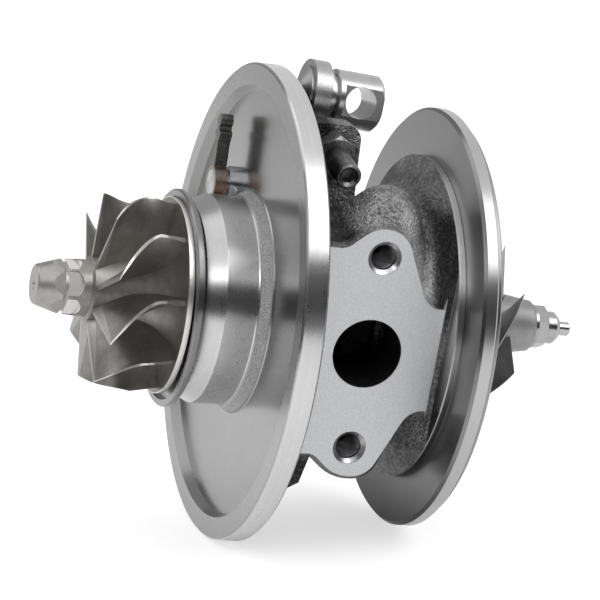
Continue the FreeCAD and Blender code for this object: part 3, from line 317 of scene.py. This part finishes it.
def cut_masks(tree, at):
    """Masks of the cuts in the casting: turned, ground, chamfered and blasted, with a painted
    highlight along the drain face's edge and painted shade inside the drain bore.
    """
    x, y, z, r = at["Station"], at["Side"], at["Height"], at["Radius"]
    rim_end_x = 5.5
    recess_inner, recess_outer = 22.15, 45.0
    chamfer_radius, chamfer_end = 3.55, 1.2
    edge_highlight_depth, edge_highlight_off_bolt, edge_highlight_off_bore = 0.33, 4.1, 7.75

    cuts = {}
    outermost = above(tree, r, rim_radius - 0.2, 0.1)
    turbine_side = below(tree, x, flange_back - 0.07, 0.03)
    rim = times(tree, outermost, below(tree, x, rim_end_x, 0.5))
    cuts["compressor side"] = above(tree, x, land_x + 0.15, 0.05)
    cuts["drain face"] = times(
        tree, within(tree, y, drain_face_y - 0.05, drain_face_y + 0.05, 0.02),
        within(tree, x, flange_back + 0.06, drain_right_x + 0.04, 0.02))
    cuts["machined"] = most(tree, turbine_side, rim, cuts["compressor side"], cuts["drain face"])
    cuts["polished"] = most(tree, outermost, below(tree, r, boss_radius + 0.1, 0.05))
    cuts["cylinder"] = times(tree, within(tree, r, boss_radius - 0.05, boss_radius + 0.05, 0.03),
                             below(tree, x, flange_back / 2, flange_back / 2))
    cuts["band"] = times(tree, within(tree, r, band_inner, band_outer, 0.12),
                         below(tree, x, recess_floor + 0.1, 0.1))
    cuts["recess"] = times(tree, within(tree, x, recess_floor - 0.05, recess_floor + 0.05, 0.02),
                           within(tree, r, recess_inner, recess_outer, 0.15))

    across = number(tree, "SUBTRACT", x, drain_x)
    from_bore = distance(tree, across, z)
    from_bolt = distance(
        tree, across, number(tree, "SUBTRACT", number(tree, "ABSOLUTE", z), bolt_reach))
    cuts["bore"] = times(tree, below(tree, from_bore, drain_radius + 0.06, 0.04),
                         above(tree, y, drain_face_y + 0.275, 0.225))
    chamfer = times(tree, below(tree, from_bolt, chamfer_radius, 0.05),
                    within(tree, y, drain_face_y + 0.05, drain_face_y + chamfer_end, 0.05))
    # Painted highlight: a thin pale line on the casting just behind the drain face's edge, away
    # from the holes.
    edge_highlight = times(tree, below(tree, y, drain_face_y + edge_highlight_depth, 0.07),
                 above(tree, from_bolt, edge_highlight_off_bolt, 0.1),
                 above(tree, from_bore, edge_highlight_off_bore, 0.25),
                 number(tree, "SUBTRACT", 1.0, cuts["machined"]),
                 within(tree, x, flange_back + 0.3, drain_right_x + 0.15, 0.05))
    cuts["edges"] = most(tree, chamfer, edge_highlight)
    cuts["all"] = most(tree, cuts["machined"], cuts["edges"])
    return cuts


def cast_colour(tree, at, skin):
    """Colour of the cast skin: painted shade in its corners, paler on the lug, and painted light on
    the neck beside the drain flange.
    """
    x, y, z = at["Station"], at["Side"], at["Height"]
    lug_bottom, lug_end_x = 21.5, 23.0
    neck_front, neck_start_x, neck_middle_x, neck_end_x, neck_bottom = -18.5, 13.25, 22.5, 30.0, 2.0
    bowl_corner_x, bowl_corner_bottom, bowl_corner_top = 30.4, 6.5, 26.0
    upper_corner_x, upper_corner_bottom, upper_corner_front = 12.25, 17.5, -24.5
    lower_corner_x, lower_corner_top = 12.5, -21.5

    lug = times(tree, above(tree, z, lug_bottom, 2.5), below(tree, x, lug_end_x, 3.0))
    dark = blend(tree, lug, (0.1, 0.1, 0.101), (0.14, 0.14, 0.141))
    light = blend(tree, lug, (0.4, 0.4, 0.402), (0.5, 0.5, 0.502))

    # Painted light: the cast skin of the neck beside the drain flange is made paler, nearly white
    # on its outer part next to the flange.
    painted_light_on_neck = times(tree, below(tree, y, neck_front, 2.5), above(tree, x, neck_start_x, 1.75),
                    below(tree, x, neck_end_x, 0.6), above(tree, z, neck_bottom, 4.0))
    outer = above(tree, x, neck_middle_x, 2.5)
    dark = blend(tree, painted_light_on_neck, dark, blend(tree, outer, (0.1, 0.1, 0.102), (0.5, 0.5, 0.505)))
    light = blend(tree, painted_light_on_neck, light, blend(tree, outer, (0.62, 0.62, 0.625), (1.0, 1.0, 1.0)))

    # Painted shade: the cast skin is darkened in the corners beside the bowl, above the drain
    # flange and under it.
    beside_bowl = times(tree, above(tree, x, bowl_corner_x, 0.8),
                        above(tree, z, bowl_corner_bottom, 2.5),
                        below(tree, z, bowl_corner_top, 2.0))
    above_drain = times(tree, below(tree, x, upper_corner_x, 1.25),
                        above(tree, z, upper_corner_bottom, 1.5),
                        above(tree, y, upper_corner_front, 1.0))
    under_drain = times(tree, below(tree, x, lower_corner_x, 1.5),
                        below(tree, z, lower_corner_top, 1.5))
    painted_shade = most(tree, beside_bowl, above_drain, under_drain)
    dark = blend(tree, painted_shade, dark, (0.015, 0.015, 0.015))
    light = blend(tree, painted_shade, light, (0.08, 0.08, 0.08))

    worn = times(tree, skin["Specks"], between(tree, painted_shade, 0.5, 0.12))
    return blend(tree, worn, blend(tree, skin["Tone"], dark, light), (0.5, 0.5, 0.505))


def cut_colour(tree, at, cuts, rings, smear, sparkle):
    """Colour of the bare metal in each cut; a later line covers the ones before it."""
    x, z, r = at["Station"], at["Height"], at["Radius"]
    flange_back_shade_up_to, land_shade_up_to = -24.0, 1.0
    lip_width, lip_depth = 0.45, 0.18

    colour = blend(tree, between(tree, 0.5, rings["Tone"], smear),
                   (0.38, 0.377, 0.377), (0.42, 0.417, 0.417))
    rim_colour = blend(tree, rings["Tone"], (0.61, 0.61, 0.615), (0.65, 0.65, 0.655))
    colour = blend(tree, cuts["polished"], colour, rim_colour)
    recess_colour = blend(tree, smear, (0.305, 0.302, 0.302), (0.34, 0.337, 0.337))
    colour = blend(tree, cuts["recess"], colour, recess_colour)
    colour = blend(tree, cuts["cylinder"], colour, (0.68, 0.68, 0.685))

    # Compressor side: rim, then flange back with its chamfer and painted shade towards the bottom,
    # land with painted shade below and painted light above, and a painted highlight along the
    # land's lip
    colour = blend(tree, cuts["compressor side"], colour, (0.5, 0.5, 0.505))
    chamfer_end = compressor_flange_x + compressor_chamfer
    # Painted shade: the flange back and its chamfer darken towards the bottom.
    flange_back_shade = blend(tree, above(tree, z, flange_back_shade_up_to, 16.0), (0.03, 0.03, 0.03), (0.27, 0.27, 0.272))
    flange_back_side = times(tree, cuts["compressor side"],
                             below(tree, x, chamfer_end - 0.015, 0.035))
    colour = blend(tree, flange_back_side, colour, flange_back_shade)
    land = times(tree, cuts["compressor side"], below(tree, x, compressor_flange_x - 0.15, 0.05))
    # Painted shade on the land's lower part and painted light on its upper part.
    land_colour = blend(tree, above(tree, z, land_shade_up_to, 11.0),
                        (0.08, 0.08, 0.08), (0.8, 0.8, 0.805))
    colour = blend(tree, land, colour, land_colour)
    # Painted highlight: a near-white line along the land's lip.
    lip = times(tree, land, below(tree, x, land_x + lip_width, 0.05),
                above(tree, r, bowl_radius - lip_depth, 0.04))
    colour = blend(tree, lip, colour, (0.95, 0.95, 0.95))

    ground_colour = blend(tree, above(tree, sparkle, 0.5, 0.2),
                          (0.54, 0.545, 0.555), (0.66, 0.665, 0.675))
    colour = blend(tree, cuts["drain face"], colour, ground_colour)
    blasted_colour = blend(tree, above(tree, sparkle, 0.5, 0.15),
                           (0.36, 0.36, 0.365), (0.8, 0.8, 0.81))
    return blend(tree, cuts["band"], colour, blasted_colour)


def housing_finish():
    """Finish of the casting: one shader for its cuts and one for its skin.

    The first shader carries the colour, roughness and bump of both, so that an export that can
    keep only one of them shows the whole casting.
    """
    skin_metallic, skin_roughness, skin_bump = 0.9, 0.4, 0.8
    bump, ring_depth, ground_depth, blast_depth = 0.5, 0.015, 0.05, 0.7
    material, tree, shader, at = start_finish("cast iron with machined faces", anisotropy=0.7)
    skin = use(tree, SKIN, Place=at["Place"], Grain=1.5, Lumps=0.3)
    smear = use(tree, HANDLING, Place=at["Place"])["Smear"]
    rings = use(tree, TURNING, Rings=4.0,
                Distance=number(tree, "ADD", at["Radius"], at["Station"]))
    sparkle = noise(tree, at["Place"], scale=5.0, detail=2.0, rough=0.7)
    cuts = cut_masks(tree, at)

    colour = blend(tree, cuts["machined"], cast_colour(tree, at, skin),
                   cut_colour(tree, at, cuts, rings, smear, sparkle))
    # Painted shade: the inside of the drain bore is nearly black.
    colour = blend(tree, cuts["bore"], colour, (0.05, 0.05, 0.05))
    # Bare metal in the bolt hole chamfers, and the painted highlight along the drain face's edge.
    colour = blend(tree, cuts["edges"], colour, (0.6, 0.6, 0.61))
    feed(tree, shader.inputs["Base Color"], colour)

    shine = between(tree, smear, between(tree, cuts["recess"], 0.26, 0.2),
                    between(tree, cuts["recess"], 0.31, 0.23))
    for cut, value in (("compressor side", 0.3), ("drain face", 0.42), ("band", 0.5)):
        shine = between(tree, cuts[cut], shine, value)
    feed(tree, shader.inputs["Roughness"], between(tree, cuts["all"], skin_roughness, shine))

    height = times(tree, rings["Height"], ring_depth)
    for cut, depth in (("drain face", ground_depth), ("band", blast_depth)):
        height = between(tree, cuts[cut], height, times(tree, sparkle, depth))
    raise_height(tree, shader, between(tree, cuts["all"], skin["Height"], height), bump)

    rough = tree.nodes.new("ShaderNodeBsdfPrincipled")
    rough.inputs["Metallic"].default_value = skin_metallic
    rough.inputs["Roughness"].default_value = skin_roughness
    feed(tree, rough.inputs["Base Color"], colour)
    raise_height(tree, rough, skin["Height"], skin_bump)
    both = tree.nodes.new("ShaderNodeMixShader")
    for socket, value in zip(both.inputs, (cuts["all"], rough.outputs[0], shader.outputs[0])):
        feed(tree, socket, value)
    feed(tree, tree.nodes["Material Output"].inputs["Surface"], both.outputs[0])
    return material


# Wheels and levers

def blade_finish(name, dark, light, ground_colour, ground_mask, shine):
    """Cast wheel alloy: fine skin, with ground and machined places told by a mask."""
    ground_shine, bump = 0.28, 0.03
    material, tree, shader, at = start_finish(name, metallic=0.88)
    skin = use(tree, SKIN, Place=at["Place"], Grain=3.2, Lumps=0.25)
    smear = use(tree, HANDLING, Place=at["Place"])["Smear"]
    colour = blend(tree, between(tree, 0.35, smear, skin["Tone"]), dark, light)
    ground = ground_mask(tree, at)
    feed(tree, shader.inputs["Base Color"], blend(tree, ground, colour, ground_colour))
    feed(tree, shader.inputs["Roughness"], between(tree, ground, shine, ground_shine))
    raise_height(tree, shader, skin["Height"], bump)
    return material


def turbine_ground(tree, at):
    """Mask of the turbine wheel's blade tips, collar flats and disc, faint on edges and nose."""
    x, r = at["Station"], at["Radius"]
    tip_exit_x, tip_entry_x, tip_end_x = -29.6, -21.5, -17.4
    tip_exit_radius, tip_entry_radius, tip_skin = 18.5, 19.1, 0.25
    edge_start_x, edge_end_x, edge_inner, edge_share = -31.0, -29.45, 6.8, 0.25
    nose_x, nose_share = -35.45, 0.2
    flats_start_x, flats_end_x, flats_radius = -35.8, -32.8, 5.25
    disc_x, disc_inner = -16.3, 18.95

    tip_line = ramp(tree, x, tip_exit_x, tip_entry_x, tip_exit_radius, tip_entry_radius)
    tips = times(tree, above(tree, number(tree, "SUBTRACT", r, tip_line), -tip_skin, 0.07),
                 within(tree, x, tip_exit_x - 0.1, tip_end_x, 0.05))
    exit_edges = times(tree, within(tree, x, edge_start_x, edge_end_x, 0.06),
                       above(tree, r, edge_inner, 0.2), edge_share)
    nose = times(tree, below(tree, x, nose_x, 0.25), nose_share)
    flats = times(tree, within(tree, x, flats_start_x, flats_end_x, 0.05),
                  below(tree, r, flats_radius, 0.05))
    disc = times(tree, above(tree, x, disc_x, 0.05), above(tree, r, disc_inner, 0.05))
    return most(tree, tips, exit_edges, nose, flats, disc)


def compressor_ground(tree, at):
    """Mask of the compressor wheel's turned blade tips."""
    return above(tree, at["Radius"], compressor_tip_radius, 0.06)


def lever_finish():
    """Lever steel, blued and browned by heat round its hub, pale on the hub's end."""
    plain_shine, worn_shine, bump = 0.36, 0.26, 0.02
    material, tree, shader, at = start_finish("heat tinted lever steel")
    skin = use(tree, SKIN, Place=at["Place"], Grain=2.6, Lumps=0.5)
    offset = combine(tree, "SUBTRACT", at["Place"], (0.0, pivot_y, pivot_z))
    from_pivot = combine(tree, "LENGTH", combine(tree, "MULTIPLY", offset, (0.0, 1.0, 1.0)))
    steel = blend(tree, skin["Tone"], (0.1, 0.098, 0.093), (0.24, 0.235, 0.225))
    heat = noise(tree, at["Place"], scale=0.55, detail=2.0, rough=0.5)
    tint = blend(tree, above(tree, heat, 0.5, 0.1), (0.40, 0.24, 0.15), (0.42, 0.40, 0.42))
    colour = blend(tree, below(tree, from_pivot, hub_radius, 0.2), steel, tint)
    hub_end = below(tree, at["Station"], hub_front + 0.05, 0.03)
    colour = blend(tree, hub_end, colour, (0.30, 0.285, 0.23))
    feed(tree, shader.inputs["Base Color"], colour)
    shine = between(tree, skin["Specks"], plain_shine, worn_shine)
    feed(tree, shader.inputs["Roughness"], shine)
    raise_height(tree, shader, skin["Height"], bump)
    return material


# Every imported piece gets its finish

def dress(material, *pieces):
    """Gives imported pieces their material."""
    for piece in pieces:
        mesh = nodes[piece].data
        mesh.materials.clear()
        mesh.materials.append(material)


along_shaft = {"along": "Station", "anisotropy": 0.3}

dress(housing_finish(), "bearing_housing")
dress(turned_finish("pressed shield steel", (0.27, 0.27, 0.272), shine=0.3, rings=3.0, depth=0.02),
      "heat_shield")
dress(blade_finish("turbine alloy", (0.21, 0.202, 0.188), (0.38, 0.366, 0.345),
                   (0.78, 0.765, 0.745), turbine_ground, shine=0.4), "turbine_wheel")
dress(blade_finish("compressor alloy", (0.26, 0.26, 0.264), (0.38, 0.38, 0.385),
                   (0.6, 0.6, 0.61), compressor_ground, shine=0.48), "compressor_wheel")
dress(turned_finish("ground shaft steel", (0.5, 0.5, 0.51), shine=0.2, rings=8.0, depth=0.006,
                    **along_shaft), "rotor_shaft")
dress(turned_finish("ground ring steel", (0.5, 0.5, 0.51), shine=0.3, rings=8.0, depth=0.006,
                    **along_shaft),
      "turbine_piston_ring", "bearing_retaining_rings", "compressor_piston_ring", "pin_washer")
dress(turned_finish("turned bearing bronze", (0.60, 0.42, 0.2), shine=0.3, rings=5.0, depth=0.01),
      "turbine_journal_bearing", "compressor_journal_bearing", "thrust_bearing")
dress(turned_finish("ground collar steel", (0.5, 0.5, 0.51), shine=0.24, rings=7.0, depth=0.006),
      "thrust_collar", "oil_flinger", "lever_shaft")
dress(turned_finish("pressed deflector steel", (0.48, 0.48, 0.49), shine=0.3, rings=3.0,
                    depth=0.01), "oil_deflector")
dress(turned_finish("turned backplate", (0.33, 0.33, 0.335), shine=0.36, rings=4.0, depth=0.012),
      "compressor_backplate")
dress(cast_finish("seal rubber", (0.012, 0.012, 0.012), (0.02, 0.02, 0.02), shine=0.6, grain=4.0,
                  depth=0.01, metallic=0.0), "backplate_o_ring")
dress(cast_finish("plated fastener steel", (0.28, 0.28, 0.29), (0.38, 0.38, 0.39), shine=0.35,
                  grain=4.0, depth=0.015, metallic=1.0),
      "thrust_bearing_screws", "backplate_screws")
dress(turned_finish("bright zinc nut", (0.42, 0.42, 0.425), shine=0.26, rings=6.0, depth=0.01),
      "shaft_nut")
dress(turned_finish("bright bush steel", (0.72, 0.72, 0.73), shine=0.22, rings=6.0, depth=0.006,
                    **along_shaft), "lever_bush")
dress(lever_finish(), "inner_lever")
dress(cast_finish("satin lever steel", (0.36, 0.36, 0.36), (0.5, 0.5, 0.5), shine=0.36, grain=2.6,
                  depth=0.03, metallic=1.0), "outer_lever")
dress(turned_finish("satin pin steel", (0.48, 0.48, 0.482), shine=0.3, rings=5.0, depth=0.01,
                    along="Station", anisotropy=0.2), "actuator_pin")
dress(cast_finish("black oxide screw", (0.035, 0.035, 0.036), (0.3, 0.3, 0.302), shine=0.32,
                  grain=3.0, depth=0.05, metallic=0.9), "stop_screw", "stop_lock_nut")


# Threads in the drain flange's bolt holes

def lay_surface(name, points, closed):
    """Mesh from a grid of points in millimetres, open or closed in both directions."""
    rows, columns = points.shape[:2]
    index = np.arange(rows * columns).reshape(rows, columns)
    if closed:
        index = np.vstack([index, index[:1]])
        index = np.hstack([index, index[:, :1]])
    corners = (index[:-1, :-1], index[1:, :-1], index[1:, 1:], index[:-1, 1:])
    faces = np.stack(corners, -1).reshape(-1, 4)
    mesh = bpy.data.meshes.new(name)
    mesh.from_pydata((points.reshape(-1, 3) * MM).tolist(), [], faces.tolist())
    mesh.update()
    piece = bpy.data.objects.new(name, mesh)
    bpy.context.scene.collection.objects.link(piece)
    return piece


def thread_sleeve(name, start, axis, root, wall, pitch, length, depth):
    """Sleeve with a helical thread on its inside, round an axis that isn't Z.

    A loop runs along the threaded side and back along a plain outer side, and is carried round
    the axis. On the threaded side the radius is root minus depth times a triangle wave of
    (distance / pitch - turn), so that the crest climbs one pitch in each turn. The wave fades
    over the first and the last pitch.
    """
    rows_in_pitch, columns = 8, 72
    along = np.linspace(0.0, length, int(length / pitch * rows_in_pitch))
    turn = np.linspace(0.0, 1.0, columns, endpoint=False)
    wave = np.abs(((along[:, None] / pitch - turn[None]) % 1.0) * 2 - 1)
    fade = np.clip(np.minimum(along, length - along) / pitch, 0.0, 1.0)[:, None]
    radius = np.vstack([root - depth * wave * fade, np.full((2, columns), root + wall)])
    station = np.concatenate([along, [length, 0.0]])[:, None] * np.ones((1, columns))
    side = np.cross(axis, (0.0, 0.0, 1.0))
    side /= np.linalg.norm(side)
    up = np.cross(axis, side)
    angle = turn * 2 * math.pi
    around = np.cos(angle)[:, None] * side + np.sin(angle)[:, None] * up
    points = np.array(start) + station[..., None] * np.array(axis) + radius[..., None] * around
    return lay_surface(name, points[:, ::-1], True)


thread_start = 0.8
thread_steel = turned_finish("cut thread", (0.4, 0.4, 0.41), shine=0.3, rings=6.0, depth=0.004)
for level, label in ((bolt_reach, "upper"), (-bolt_reach, "lower")):
    thread = thread_sleeve("drain_thread_" + label, (drain_x, drain_face_y + thread_start, level),
                           axis=(0, 1, 0), root=bolt_radius + 0.02, wall=0.05, pitch=1.0,
                           length=9.6, depth=0.32)
    thread.data.materials.append(thread_steel)
    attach(thread, "housing")


# Camera at the photograph's angle: it looks against `back` from `eye`

right = Vector((0.9468, -0.2716, 0.1726))
up = Vector((-0.0811, 0.3177, 0.9447))
back = Vector((-0.3114, -0.9085, 0.2787))
eye = Vector((-0.19086, -0.59136, 0.18274))
lens = bpy.data.cameras.new("camera")
lens.lens = 199.62
lens.sensor_width = 36.0
lens.clip_start = 0.01
lens.clip_end = 100.0
camera = bpy.data.objects.new("camera", lens)
camera.matrix_world = Matrix((*zip(right, up, back, eye), (0, 0, 0, 1)))
bpy.context.scene.collection.objects.link(camera)
bpy.context.scene.camera = camera


# Floor that both flanges stand on: it leans in the part's frame, since the part lies rolled on it

floor_up = Vector((-0.14, 0.142, 0.98)).normalized()
floor_drop = 0.04635
floor_foot = floor_up * -floor_drop
toward = (back - back.dot(floor_up) * floor_up).normalized()
aside = floor_up.cross(toward)


def flat_card(name, centre, across, along, size):
    """Flat square about a centre, facing up from the floor."""
    signs = ((-1, -1), (1, -1), (1, 1), (-1, 1))
    corners = [centre + across * (sx * size / 2) + along * (sy * size / 2) for sx, sy in signs]
    mesh = bpy.data.meshes.new(name)
    mesh.from_pydata([tuple(c) for c in corners], [], [(3, 2, 1, 0)])
    card = bpy.data.objects.new(name, mesh)
    bpy.context.scene.collection.objects.link(card)
    return card


def paper_finish():
    """White paper: matt near the part, where it takes the shadow, and glowing white far from it.

    Camera rays from below pass through it, so that it never hides the part.
    """
    near, distant = 0.06, 0.2
    matt_level, lift_level = 0.96, 0.19
    paper = bpy.data.materials.new("white paper floor")
    paper.use_nodes = True
    tree = paper.node_tree
    tree.nodes.clear()
    path = tree.nodes.new("ShaderNodeLightPath").outputs
    matt = tree.nodes.new("ShaderNodeBsdfDiffuse")
    matt.inputs["Color"].default_value = (matt_level, matt_level, matt_level, 1)
    white = tree.nodes.new("ShaderNodeEmission")
    spot = tree.nodes.new("ShaderNodeTexCoord").outputs["Object"]
    far = ramp(tree, combine(tree, "DISTANCE", spot, tuple(floor_foot)), near, distant)
    mirrored = times(tree, path["Is Glossy Ray"], between(tree, far, 0.25, 0.6))
    shown = times(tree, path["Is Camera Ray"], between(tree, far, 0.4, 0.9))
    both = tree.nodes.new("ShaderNodeMixShader")
    for socket, value in zip(both.inputs, (most(tree, mirrored, shown), matt.outputs[0],
                                           white.outputs[0])):
        feed(tree, socket, value)
    lift = tree.nodes.new("ShaderNodeEmission")
    feed(tree, lift.inputs["Strength"], times(tree, path["Is Camera Ray"], lift_level))
    lit = tree.nodes.new("ShaderNodeAddShader")
    feed(tree, lit.inputs[0], both.outputs[0])
    feed(tree, lit.inputs[1], lift.outputs[0])
    under = tree.nodes.new("ShaderNodeNewGeometry").outputs["Backfacing"]
    clear = tree.nodes.new("ShaderNodeBsdfTransparent")
    pick = tree.nodes.new("ShaderNodeMixShader")
    for socket, value in zip(pick.inputs, (times(tree, under, path["Is Camera Ray"]),
                                           lit.outputs[0], clear.outputs[0])):
        feed(tree, socket, value)
    result = tree.nodes.new("ShaderNodeOutputMaterial")
    feed(tree, result.inputs["Surface"], pick.outputs[0])
    return paper


floor = flat_card("floor", floor_foot, aside, toward, 14.0)
floor.data.materials.append(paper_finish())


# World: white where a ray sees or mirrors it, a little less where it lights

lighting_level, seen_level = 0.88, 1.0
world = bpy.data.worlds.new("studio")
bpy.context.scene.world = world
world.use_nodes = True
tree = world.node_tree
sky = tree.nodes["Background"]
sky.inputs["Color"].default_value = (1, 1, 1, 1)
path = tree.nodes.new("ShaderNodeLightPath").outputs
seen = most(tree, path["Is Camera Ray"], path["Is Glossy Ray"], path["Is Transmission Ray"])
feed(tree, sky.inputs["Strength"], between(tree, seen, lighting_level, seen_level))


def soft_lamp(name, height, turn, distance, width, length, power):
    """Rectangular lamp facing the part, from a height above the floor and a turn in degrees.

    The turn is counted from the camera's side, and a positive one goes to the right.
    """
    light = bpy.data.lights.new(name, "AREA")
    light.shape = "RECTANGLE"
    light.size = width
    light.size_y = length
    light.energy = power
    lamp = bpy.data.objects.new(name, light)
    e, a = math.radians(height), math.radians(turn)
    level_way = toward * math.cos(a) + aside * math.sin(a)
    way = level_way * math.cos(e) + floor_up * math.sin(e)
    lamp.location = way * distance
    lamp.rotation_euler = way.to_track_quat("Z", "Y").to_euler()
    bpy.context.scene.collection.objects.link(lamp)


soft_lamp("key lamp", height=43.5, turn=62.0, distance=1.6, width=1.15, length=1.0, power=8.4)
soft_lamp("fill lamp", height=40.0, turn=-110.0, distance=1.8, width=1.0, length=1.0, power=4.0)
soft_lamp("front lamp", height=34.0, turn=-28.0, distance=2.0, width=0.9, length=0.6, power=3.2)


# Screens round the part that only mirror-like metal sees: a dark one in front, paler ones behind

def curved_screen(name, level, turns, heights, distance):
    """Part of a sphere about the part, seen in reflections alone.

    A grid of directions, turn by height above the floor in degrees, is pushed out to one
    distance in metres.
    """
    turn = np.radians(np.linspace(*turns, 33))[None, :, None]
    high = np.radians(np.linspace(*heights, 9))[:, None, None]
    flat = np.array(toward) * np.cos(turn) + np.array(aside) * np.sin(turn)
    points = (flat * np.cos(high) + np.array(floor_up) * np.sin(high)) * distance / MM
    screen = lay_surface(name, points, False)
    cloth = bpy.data.materials.new(name)
    cloth.use_nodes = True
    tree = cloth.node_tree
    tree.nodes.clear()
    glow = tree.nodes.new("ShaderNodeEmission")
    glow.inputs["Color"].default_value = (level, level, level, 1)
    result = tree.nodes.new("ShaderNodeOutputMaterial")
    feed(tree, result.inputs["Surface"], glow.outputs[0])
    screen.data.materials.append(cloth)
    screen.visible_camera = False
    screen.visible_diffuse = False
    screen.visible_shadow = False
    screen.visible_transmission = False


curved_screen("dark_screen", 0.05, turns=(-62.0, 95.0), heights=(-5.2, 27.5), distance=0.5)
curved_screen("pale_screen", 0.85, turns=(98.0, 178.0), heights=(-1.2, 64.0), distance=2.0)
curved_screen("grey_screen", 0.36, turns=(-180.0, -64.0), heights=(-1.2, 60.0), distance=2.0)

bpy.context.scene.view_settings.view_transform = "Standard"
